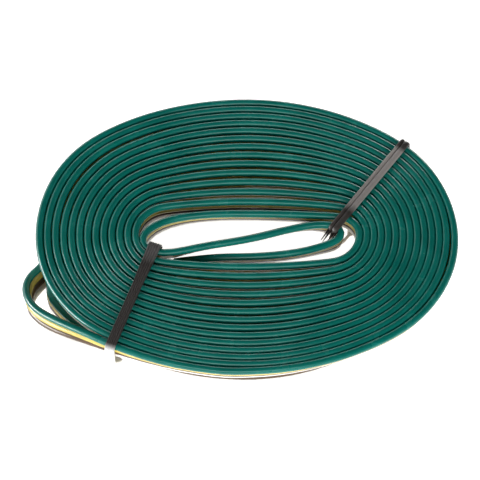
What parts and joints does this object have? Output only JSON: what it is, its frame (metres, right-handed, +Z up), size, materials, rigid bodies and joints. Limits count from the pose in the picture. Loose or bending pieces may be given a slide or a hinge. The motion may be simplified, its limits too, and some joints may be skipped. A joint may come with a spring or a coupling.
{
  "type": "coiled trailer wire",
  "caption": "Flat oval coil of bonded ribbon wire for trailer lighting, insulated strands in green, yellow, brown and white wound on edge in two layers and tied with black plastic ties.",
  "frame": {"origin": "middle of the overall box at the underside, on the surface the coil lies on", "axes": "+Z up through the coil, +X along its long axis to the right, +Y to the back, away from the free loop's side"},
  "size_m": [0.1685, 0.1216, 0.0229],
  "materials": {
    "green_pvc": "glossy extruded insulation",
    "yellow_pvc": "glossy extruded insulation",
    "brown_pvc": "glossy extruded insulation",
    "white_pvc": "glossy extruded insulation",
    "tie_plastic": "satin black",
    "copper": "bare stranded copper"
  },
  "bodies": {
    "root": {"green_upper_turns": "green_pvc", "green_lower_turns": "green_pvc", "green_outer_loop": "green_pvc", "green_inner_tail": "green_pvc", "yellow_upper_turns": "yellow_pvc", "yellow_lower_turns": "yellow_pvc", "yellow_outer_loop": "yellow_pvc", "yellow_inner_tail": "yellow_pvc", "brown_upper_turns": "brown_pvc", "brown_lower_turns": "brown_pvc", "brown_outer_loop": "brown_pvc", "brown_inner_tail": "brown_pvc", "white_upper_turns": "white_pvc", "white_lower_turns": "white_pvc", "white_outer_loop": "white_pvc", "white_inner_tail": "white_pvc", "copper_cores": "copper", "left_tie": "tie_plastic", "right_tie": "tie_plastic"}
  },
  "joints": []
}
